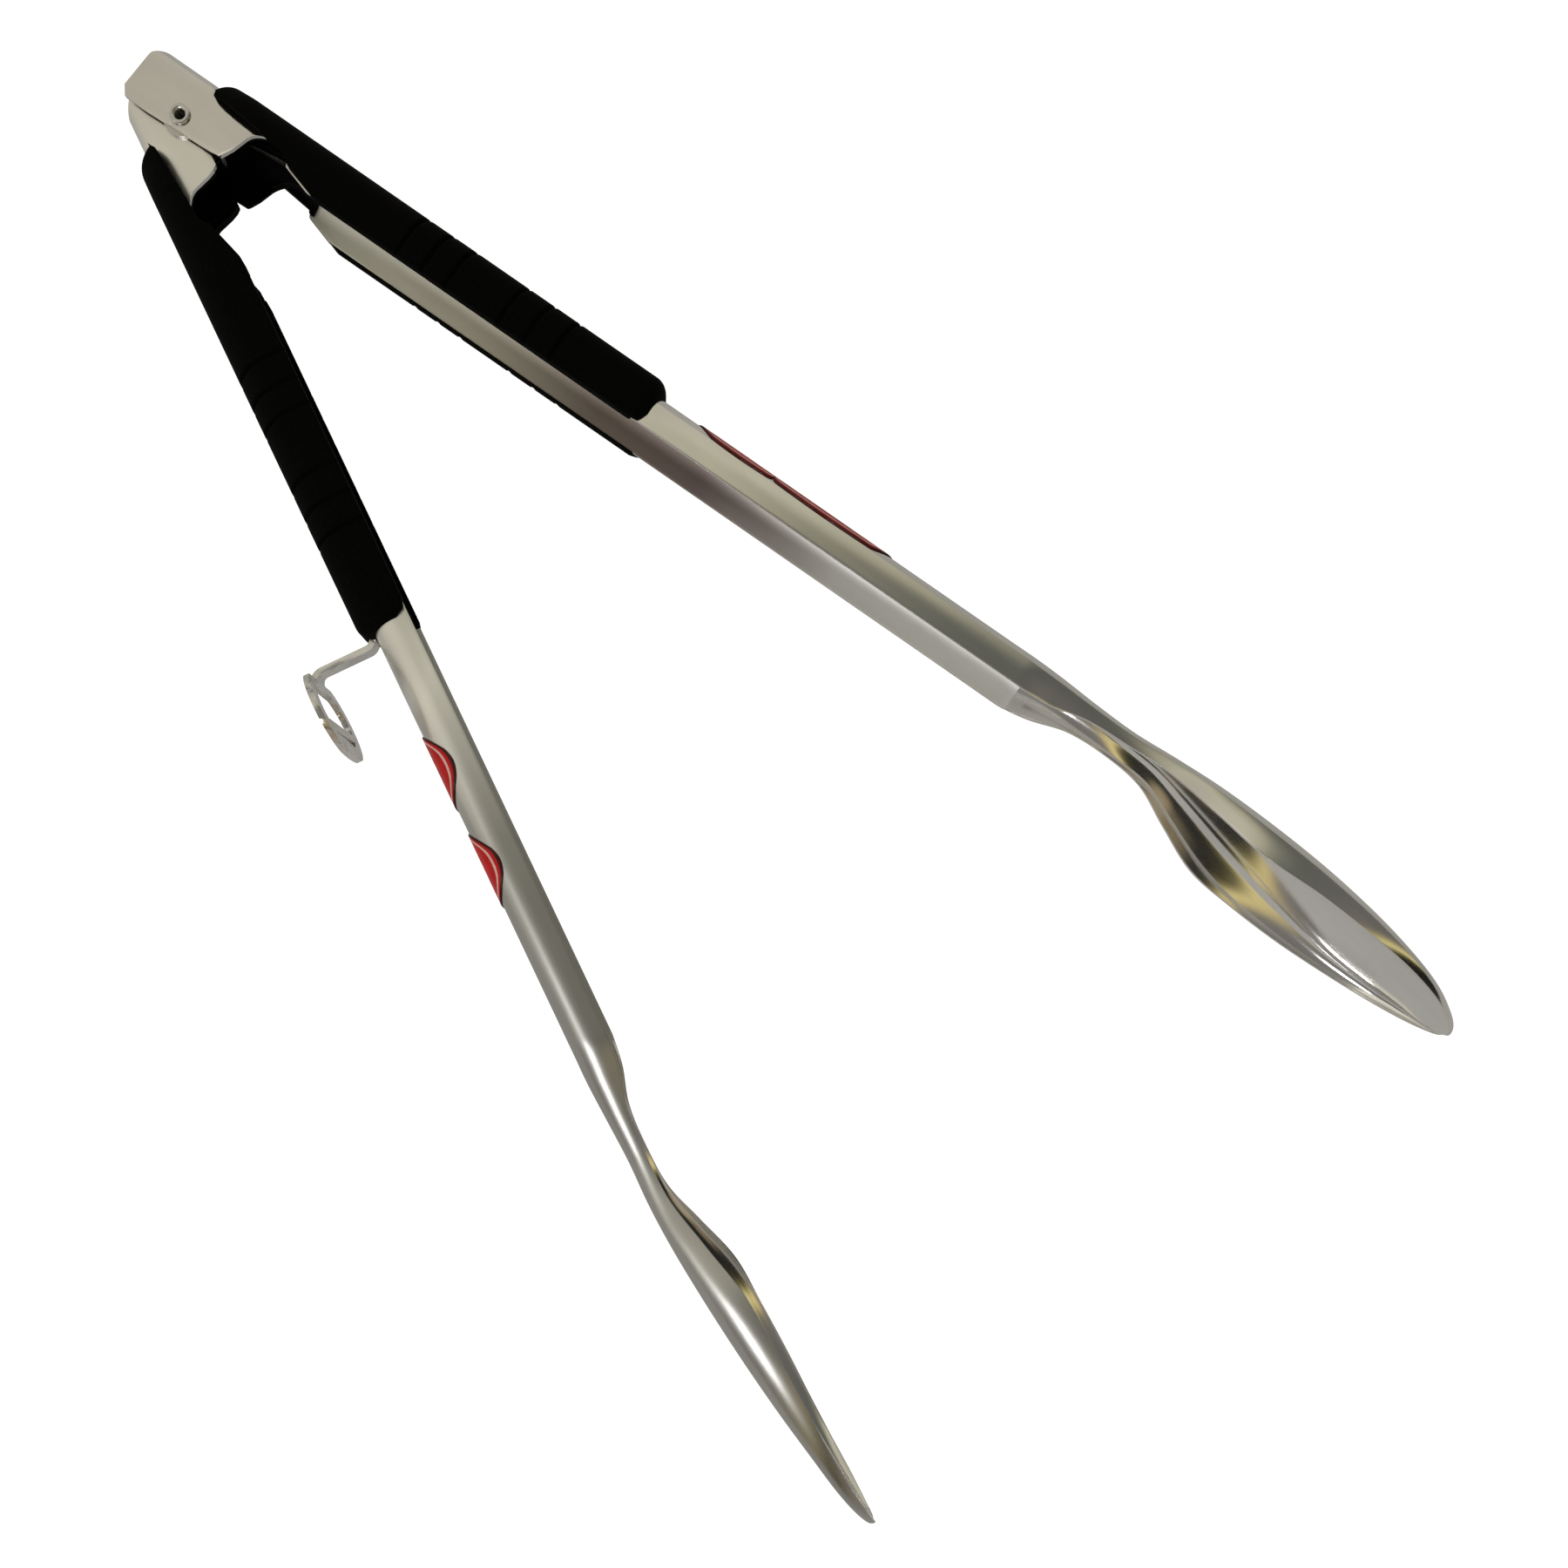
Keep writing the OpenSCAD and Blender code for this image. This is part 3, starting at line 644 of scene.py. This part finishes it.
def grip(side):
    """Moulded rubber shell over the back of the arm, with a lip round the arm's rims."""
    rows = []
    for x in grip_stations(GRIP_END[side]):
        outside, inside = grip_rows(x, side)
        rows.append([(x, y, z) for y, z in outside + inside[::-1]])
    n = len(rows[0])
    verts = [v for row in rows for v in row]
    faces = [(r * n + i, (r + 1) * n + i, (r + 1) * n + (i + 1) % n, r * n + (i + 1) % n)
             for r in range(len(rows) - 1) for i in range(n)]
    last = (len(rows) - 1) * n
    for i in range(n // 2 - 1):
        a, b, c, d = i, i + 1, n - 2 - i, n - 1 - i
        faces.append((a, b, c, d))
        faces.append((last + d, last + c, last + b, last + a))
    obj = make_object(SIDE_NAME[side] + "_grip_shell", verts, faces, side, BODY[side],
                      [MAT["rubber"]])
    smooth_faces(obj)
    round_edges(obj, width=0.3, segments=3, degrees=60)
    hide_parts(SIDE_NAME[side] + "_grip")


# ---------------------------------------------------------------- the discs

DISC_T = 0.4
DISC_RINGS = [0.0, 0.15, 0.3, 0.45, 0.6, 0.72, 0.82, 0.875, 0.92, 0.94, 0.97, 0.985, 1.0]
LINE_IN, LINE_OUT = 0.875, 0.92
DISC_STEPS = 72
# the third disc material is painted shade on the disc's edge
RED, PALE, PAINTED_SHADE_EDGE = range(3)  # the disc's materials, by index
DISCS = [  # node, arm, where it starts and ends, half-width, where it is cut off at each end
    ("upper_disc_rear", UPPER, 145.5, 175.2, 8.6, -math.inf, 169.9),
    ("upper_disc_front", UPPER, 164.8, 206.2, 8.6, 170.1, math.inf),
    ("lower_disc_rear", LOWER, 161.0, 182.0, 9.6, -math.inf, math.inf),
    ("lower_disc_front", LOWER, 188.0, 209.0, 9.6, -math.inf, math.inf),
]


def back_point(z, height):
    """(y, z) on the channel's back at a distance z from its middle, raised by height."""
    flat = CH_HALF - CH_BEND
    over = abs(z) - flat
    if over <= 0:
        return CH_BACK + height, z
    s = min(over / CH_BEND, 0.9999)
    r = CH_BEND + height
    y = CH_BACK - CH_BEND + r * math.sqrt(1 - s * s)
    return y, math.copysign(flat + r * s, z)


def disc_height(k):
    """Height of the disc's top at k of the way from its middle to its edge."""
    if k >= 1:
        return DISC_T - 0.16
    if k > 0.97:
        return DISC_T - 0.03
    return DISC_T - 0.02 if LINE_IN <= k <= LINE_OUT else DISC_T


def disc(name, side, x0, x1, half, cut0, cut1):
    """Red disc wrapped over the arm's back; a thin pale line inside its edge, painted shade on
    its rim.
    """
    shift, x_mid = (x1 - x0) / 2 - half, (x0 + x1) / 2
    flat = CH_HALF - CH_BEND
    scale = (flat + CH_BEND * (half - flat) / (CH_BEND + FIT + DISC_T)) / half

    def ring(k, level):
        pts = []
        for j in range(DISC_STEPS):
            a = 2 * math.pi * j / DISC_STEPS
            cx, cz = math.cos(a), math.sin(a)
            x = x_mid + k * (half * cx + shift * max(-1, min(1, 4 * cx)))
            y, z = back_point(k * half * cz * scale, level)
            pts.append((max(cut0, min(cut1, x)), y, z))
        return pts

    levels = [(k, disc_height(k)) for k in DISC_RINGS[1:]]
    levels += [(k, FIT) for k in (1.0, 0.75, 0.5, 0.25)]
    verts = [(x_mid, back_point(0, disc_height(0))[0], 0.0)]
    for k, level in levels:
        verts += ring(k, level)
    end = len(verts)
    verts.append((x_mid, CH_BACK + FIT, 0.0))
    n = DISC_STEPS
    faces = [(0, 1 + j, 1 + (j + 1) % n) for j in range(n)]
    mats = [RED] * n
    for r in range(len(levels) - 1):
        index = PALE if LINE_IN < levels[r + 1][0] <= LINE_OUT else RED
        # painted shade: the outer bevel and side of the disc take the very dark red
        if len(DISC_RINGS) - 4 <= r < len(DISC_RINGS) - 1:
            index = PAINTED_SHADE_EDGE
        for j in range(n):
            a, b = 1 + r * n + j, 1 + r * n + (j + 1) % n
            faces.append((a, a + n, b + n, b))
        mats += [index] * n
    base = 1 + (len(levels) - 1) * n
    faces += [(base + j, end, base + (j + 1) % n) for j in range(n)]
    mats += [RED] * n
    obj = make_object(name + "_badge", verts, faces, side, BODY[side],
                      [MAT["red"], MAT["rim_line"], MAT["disc_edge_painted_shade"]], mats)
    smooth_faces(obj, sharp_degrees=60)
    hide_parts(name)


# ---------------------------------------------------------------- bottle opener

STRIP_T, STEM_HALF, STEM_X, RING_Y = 1.5, 2.3, 135.9, 31.6
FOOT_START, FOOT_END, FOOT_HALF, STRIP_BEND = 115.0, 130.4, 5.0, 2.0
RING_R, RING_HOLE, RING_SHIFT, RING_X, RING_FLAT = 11.2, 7.4, 3.8, 146.9, 137.0
BAR_X, BAR_W, BAR_HALF = 149.5, 2.2, 9.6
STRIP_BEND_STEPS, RING_STEPS = 8, 96
OPENER_RIVETS, RIVET_STEPS = (119.5, 128.0), 32


def strip_line():
    """Middle line and half-width of the strip, from its foot to the ring plate."""
    foot = CH_BACK + FIT + STRIP_T / 2
    r = STRIP_BEND + STRIP_T / 2
    x_stem, y_ring = STEM_X - STRIP_T / 2, RING_Y - STRIP_T / 2
    pts = [(FOOT_START, foot, FOOT_HALF), (FOOT_END - 6, foot, FOOT_HALF),
           (FOOT_END, foot, FOOT_HALF), (FOOT_END + 1.1, foot, STEM_HALF)]
    for i in range(STRIP_BEND_STEPS + 1):
        a = math.pi / 2 * i / STRIP_BEND_STEPS
        pts.append((x_stem - r + r * math.sin(a), foot + r - r * math.cos(a), STEM_HALF))
    pts += [(x_stem, foot + r + (y_ring - foot - 2 * r) * t, STEM_HALF)
            for t in (0.25, 0.5, 0.75)]
    for i in range(STRIP_BEND_STEPS + 1):
        a = math.pi / 2 * i / STRIP_BEND_STEPS
        pts.append((x_stem + r - r * math.cos(a), y_ring - r + r * math.sin(a),
                    STEM_HALF + 2.0 * (i / STRIP_BEND_STEPS)**2))
    return pts + [(STEM_X + 4.0, y_ring, STEM_HALF + 4.0)]


def strip_object():
    """The bent strip without its ring."""
    line = strip_line()
    last = len(line) - 1
    h = STRIP_T / 2
    verts, faces = [], []
    for i, (x, y, half) in enumerate(line):
        x0, y0, _ = line[max(i - 1, 0)]
        x1, y1, _ = line[min(i + 1, last)]
        length = math.hypot(x1 - x0, y1 - y0)
        nx, ny = -(y1 - y0) / length, (x1 - x0) / length
        for out, z in ((h, half), (h, -half), (-h, -half), (-h, half)):
            verts.append((x + out * nx, y + out * ny, z))
    for r in range(last):
        for k in range(4):
            a, b = r * 4 + k, r * 4 + (k + 1) % 4
            faces.append((a, a + 4, b + 4, b))
    faces += [(0, 1, 2, 3), tuple(last * 4 + k for k in (3, 2, 1, 0))]
    obj = make_object("opener_strip", verts, faces, LOWER, "lower_jaw",
                      [MAT["opener"]])
    smooth_faces(obj)
    return obj


def ring_object():
    """The ring plate: an oval with an oval hole, flat where it meets the strip."""
    verts, faces = [], []
    n = RING_STEPS
    for y in (RING_Y, RING_Y - STRIP_T):
        for r in (RING_R, RING_HOLE):
            for i in range(n):
                a = 2 * math.pi * i / n
                c, s = math.cos(a), math.sin(a)
                z = r * s + RING_SHIFT * max(-1, min(1, 3 * s))
                verts.append((max(RING_X + r * c, RING_FLAT), y, z))
    for i in range(n):
        j = (i + 1) % n
        faces += [(i, n + i, n + j, j), (2 * n + i, 2 * n + j, 3 * n + j, 3 * n + i),
                  (i, j, 2 * n + j, 2 * n + i), (n + i, 3 * n + i, 3 * n + j, n + j)]
    obj = make_object("opener_ring", verts, faces, LOWER, None, [MAT["opener"]])
    smooth_faces(obj)
    return obj


def opener():
    """Strip, ring plate and lifting bar, joined into one piece."""
    strip = strip_object()
    ring = ring_object()
    bar = box_object("bar", (BAR_X, RING_Y - STRIP_T + FIT, -BAR_HALF),
                     (BAR_X + BAR_W, RING_Y - FIT, BAR_HALF))
    cut(ring, bar, "UNION")
    cut(strip, ring, "UNION")
    round_edges(strip, width=0.35, segments=3, degrees=40)
    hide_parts("bottle_opener")


def box_object(name, low, high):
    """A box on the lower arm, for a boolean."""
    verts = [(x, y, z) for x in (low[0], high[0]) for y in (low[1], high[1])
             for z in (low[2], high[2])]
    faces = [(0, 1, 3, 2), (4, 6, 7, 5), (0, 4, 5, 1), (2, 3, 7, 6), (0, 2, 6, 4), (1, 5, 7, 3)]
    obj = make_object(name, verts, faces, LOWER, None, [MAT["opener"]])
    smooth_faces(obj)
    return obj


def opener_rivet_pieces():
    """Domed heads and shanks of the two rivets that hold the strip."""
    inside = CH_BACK - SHEET - FIT
    outside = CH_BACK + 2 * FIT + STRIP_T
    profile = [(0.01, inside - 0.9), (1.0, inside - 0.86), (1.9, inside - 0.6),
               (2.35, inside - 0.2), (2.4, inside), (1.5, inside), (1.5, outside),
               (2.4, outside), (2.35, outside + 0.25), (1.9, outside + 0.7),
               (1.0, outside + 0.95), (0.01, outside + 1.0)]
    verts, faces = [], []
    steps, n = RIVET_STEPS, len(profile)
    for k, x in enumerate(OPENER_RIVETS):
        base = k * steps * n
        for i in range(steps):
            a = 2 * math.pi * i / steps
            verts += [(x + r * math.cos(a), h, r * math.sin(a)) for r, h in profile]
        for i in range(steps):
            j = (i + 1) % steps
            faces += [(base + i * n + q, base + i * n + q + 1, base + j * n + q + 1,
                       base + j * n + q) for q in range(n - 1)]
    obj = make_object("opener_rivet_heads", verts, faces, LOWER, "lower_jaw",
                      [MAT["rivet"]])
    bm = bmesh.new()
    bm.from_mesh(obj.data)
    bmesh.ops.remove_doubles(bm, verts=bm.verts, dist=0.04 * MM)
    bm.to_mesh(obj.data)
    bm.free()
    smooth_faces(obj, sharp_degrees=40)
    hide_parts("opener_rivets")


# ---------------------------------------------------------------- hinge parts

def hinge_rivet():
    """Hollow rivet with rolled flanges."""
    half = CH_HALF + FIT
    bore, tube, flange, top = 1.3, 2.0, 2.6, half + 0.6
    end = [(tube, 0.0), (tube, half), (flange - 0.12, half), (flange, half + 0.14),
           (flange - 0.05, half + 0.36), (flange - 0.3, top - 0.04), (tube, top),
           (bore + 0.35, top - 0.08), (bore + 0.08, top - 0.3), (bore, top - 0.55)]
    profile = end + [(r, -h) for r, h in reversed(end[1:])]
    verts, faces = turned_ring(profile, steps=48)
    obj = make_object("hinge_rivet", verts, faces, LOWER, "lower_jaw",
                      [MAT["rivet"]])
    smooth_faces(obj, sharp_degrees=35)
    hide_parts("pivot_rivet")


WIRE_R, COIL_R, COIL_PITCH, COIL_TURNS, LEG_END = 0.65, 4.7, 1.5, 4, 42.0
COIL_STEPS, LEG_STEPS, WIRE_SIDES = 40, 10, 14
LINER_T, LEG_GAP = 0.95, 0.2  # the liner between the arm and the leg, and the gap to the leg


def spring_line():
    """Middle line of the wire: leg on the lower arm, coil, leg on the upper arm."""
    leg_y = CH_BACK - SHEET - FIT - LINER_T - WIRE_R - LEG_GAP
    c, s = math.cos(OPEN_HALF), math.sin(OPEN_HALF)
    far = Vector((LEG_END * c - leg_y * s, LEG_END * s + leg_y * c))
    a1 = math.atan2(far.y, far.x) + math.acos(COIL_R / far.length)
    sweep = 2 * a1 + 2 * math.pi * COIL_TURNS
    height = COIL_PITCH * sweep / (2 * math.pi)
    steps = COIL_STEPS * (COIL_TURNS + 1)
    touch = Vector((COIL_R * math.cos(a1), COIL_R * math.sin(a1)))
    legs = [far + (touch - far) * t / LEG_STEPS for t in range(LEG_STEPS)]
    pts = [Vector((p.x, -p.y, -height / 2)) for p in legs]
    for i in range(steps + 1):
        a = -a1 + sweep * i / steps
        pts.append(Vector((COIL_R * math.cos(a), COIL_R * math.sin(a),
                           height * (i / steps - 0.5))))
    pts += [Vector((p.x, p.y, height / 2)) for p in reversed(legs)]
    return pts, height


def spring():
    """Torsion spring of round wire."""
    pts, height = spring_line()
    n, last = WIRE_SIDES, len(pts) - 1
    verts, faces = [], []
    for i, p in enumerate(pts):
        d = (pts[min(i + 1, last)] - pts[max(i - 1, 0)]).normalized()
        s = Vector((d.y, -d.x, 0)).normalized()
        b = d.cross(s)
        shrink = 0.8 if i in (0, last) else 1.0
        for k in range(n):
            a = 2 * math.pi * k / n
            verts.append(tuple(p + WIRE_R * shrink * (math.cos(a) * s + math.sin(a) * b)))
    for i in range(last):
        for k in range(n):
            a, b = i * n + k, i * n + (k + 1) % n
            faces.append((a, b, b + n, a + n))
    faces += [tuple(reversed(range(n))), tuple(last * n + k for k in range(n))]
    obj = make_object("spring_coil", verts, faces, UPPER, None,
                      [MAT["spring"]], turn=0.0)
    smooth_faces(obj, sharp_degrees=60)
    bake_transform(obj)
    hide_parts("torsion_spring")


def paint_cad_nodes():
    """Give the plain pieces, which stay as the CAD made them, their materials."""
    plain = {"upper_hinge_liner": "plastic", "lower_hinge_liner": "plastic",
             "spring_sleeve": "plastic", "shim_washer_near": "rivet", "shim_washer_far": "rivet"}
    for name, key in plain.items():
        obj = frame["nodes"][name]
        obj.data.materials.clear()
        obj.data.materials.append(MAT[key])


# ---------------------------------------------------------------- room, light, camera

FLOOR_GLOW, FLOOR_IN_GLOSS = 0.95, 0.20  # own light of the white floor: seen, and in the steel
FLOOR_RADIUS, FLOOR_DROP = 6.0, 0.0003  # in metres


def floor():
    bm = bmesh.new()
    bmesh.ops.create_circle(bm, cap_ends=True, segments=96, radius=FLOOR_RADIUS)
    mesh = bpy.data.meshes.new("floor")
    bm.to_mesh(mesh)
    bm.free()
    m, tree, shader = new_material("floor_white")
    color = ramp(tree, noise(tree, 6.0, 2.0), [(0.3, grey(0.40)), (0.7, grey(0.43))])
    tree.links.new(color, shader.inputs["Base Color"])
    shader.inputs["Roughness"].default_value = 0.9
    shader.inputs["Specular IOR Level"].default_value = 0.1
    shader.inputs["Emission Color"].default_value = (1, 1, 1, 1)
    path = node(tree, "ShaderNodeLightPath")
    glow = span(tree, path.outputs["Is Camera Ray"], FLOOR_IN_GLOSS, FLOOR_GLOW)
    tree.links.new(glow, shader.inputs["Emission Strength"])
    mesh.materials.append(m)
    obj = bpy.data.objects.new("floor", mesh)
    obj.location = (0, 0, -FLOOR_DROP)
    bpy.context.scene.collection.objects.link(obj)


KEY_PLACE, KEY_TARGET = Vector((0.14, -0.76, 0.68)), Vector((0.04, 0.05, 0.02))  # in metres
KEY_SIZE, KEY_POWER = (0.36, 0.22), 2.2


def key_light():
    data = bpy.data.lights.new("key", "AREA")
    data.shape = "RECTANGLE"
    data.size, data.size_y = KEY_SIZE
    data.energy = KEY_POWER
    obj = bpy.data.objects.new("key", data)
    obj.location = KEY_PLACE
    obj.rotation_euler = (KEY_TARGET - KEY_PLACE).to_track_quat("-Z", "Y").to_euler()
    bpy.context.scene.collection.objects.link(obj)


ROOM_LOW = [  # brightness of the room from -X to +X where y is low: (direction's x, colour)
    (-1.0, (0.50, 0.48, 0.42)), (-0.6, (0.50, 0.47, 0.40)), (-0.36, (0.85, 0.83, 0.72)),
    (-0.31, (0.66, 0.64, 0.55)), (-0.26, (0.22, 0.21, 0.18)), (-0.05, (0.19, 0.19, 0.17)),
    (0.2, (0.17, 0.16, 0.155)), (0.37, (0.19, 0.18, 0.16)), (0.43, (0.60, 0.48, 0.22)),
    (0.49, (0.85, 0.72, 0.32)), (0.54, (0.06, 0.05, 0.02)), (0.60, (0.01, 0.01, 0.01)),
    (0.72, (0.02, 0.02, 0.02)), (0.80, (0.34, 0.27, 0.16)), (1.0, (0.40, 0.38, 0.36)),
]
ROOM_HIGH = [  # and where y is high
    (-1.0, (0.50, 0.48, 0.42)), (-0.6, (0.50, 0.47, 0.40)), (-0.36, (0.55, 0.54, 0.43)),
    (-0.24, (0.42, 0.41, 0.30)), (-0.18, (0.28, 0.27, 0.21)), (-0.12, (0.18, 0.18, 0.15)),
    (-0.03, (0.12, 0.125, 0.11)), (0.15, (0.13, 0.13, 0.12)), (0.42, (0.17, 0.16, 0.15)),
    (0.47, (0.50, 0.42, 0.20)), (0.52, (0.95, 0.85, 0.40)), (0.57, (0.08, 0.07, 0.03)),
    (0.62, (0.01, 0.01, 0.01)), (0.82, (0.02, 0.02, 0.02)), (0.92, (0.45, 0.42, 0.30)),
    (1.0, (0.50, 0.50, 0.50)),
]
ROOM_TURNS_AT = (0.10, 0.22)  # the direction's y between low and high
ROOM_WALL = (0.93, 0.93, 0.93, 1)  # the plain wall behind the floor, as it is seen


def room():
    """Soft light and dark zones in the steel, behind a plain wall that the camera sees."""
    world = bpy.data.worlds.new("studio")
    bpy.context.scene.world = world
    world.use_nodes = True
    tree = world.node_tree
    back = tree.nodes["Background"]
    coord = node(tree, "ShaderNodeTexCoord")
    split = node(tree, "ShaderNodeSeparateXYZ")
    tree.links.new(coord.outputs["Generated"], split.inputs["Vector"])
    along = span(tree, split.outputs["X"], 0.0, 1.0, -1.0, 1.0)
    across = span(tree, split.outputs["Y"], 0.0, 1.0, *ROOM_TURNS_AT)
    low, high = [ramp(tree, along, [((x + 1) / 2, (*color, 1)) for x, color in table])
                 for table in (ROOM_LOW, ROOM_HIGH)]
    tree.links.new(mix_colors(tree, across, low, high), back.inputs["Color"])
    path = node(tree, "ShaderNodeLightPath")
    wall = node(tree, "ShaderNodeBackground")
    wall.inputs["Color"].default_value = ROOM_WALL
    shown = node(tree, "ShaderNodeMixShader")
    tree.links.new(path.outputs["Is Camera Ray"], shown.inputs["Fac"])
    tree.links.new(back.outputs["Background"], shown.inputs[1])
    tree.links.new(wall.outputs["Background"], shown.inputs[2])
    tree.links.new(shown.outputs["Shader"], tree.nodes["World Output"].inputs["Surface"])


CAMERA_TURN = math.radians(49.67)
CAMERA_FROM_HINGE = (235.9, -45.8, 279.0)  # in millimetres
LENS, SHIFT_X, SHIFT_Y = 25.24, 0.0788, 0.1181


def camera():
    data = bpy.data.cameras.new("camera")
    data.sensor_width = 36.0
    data.lens = LENS
    data.shift_x, data.shift_y = SHIFT_X, SHIFT_Y
    data.clip_start, data.clip_end = 0.005, 50.0
    obj = bpy.data.objects.new("camera", data)
    obj.location = HINGE + Vector(CAMERA_FROM_HINGE) * MM
    obj.rotation_euler = (0, 0, CAMERA_TURN)
    bpy.context.scene.collection.objects.link(obj)
    bpy.context.scene.camera = obj


for arm_side in (UPPER, LOWER):
    arm(arm_side)
    grip(arm_side)
for disc_settings in DISCS:
    disc(*disc_settings)
opener()
opener_rivet_pieces()
hinge_rivet()
spring()
paint_cad_nodes()
floor()
room()
key_light()
camera()
scene = bpy.context.scene
scene.view_settings.view_transform = "Standard"
scene.view_settings.look = "None"
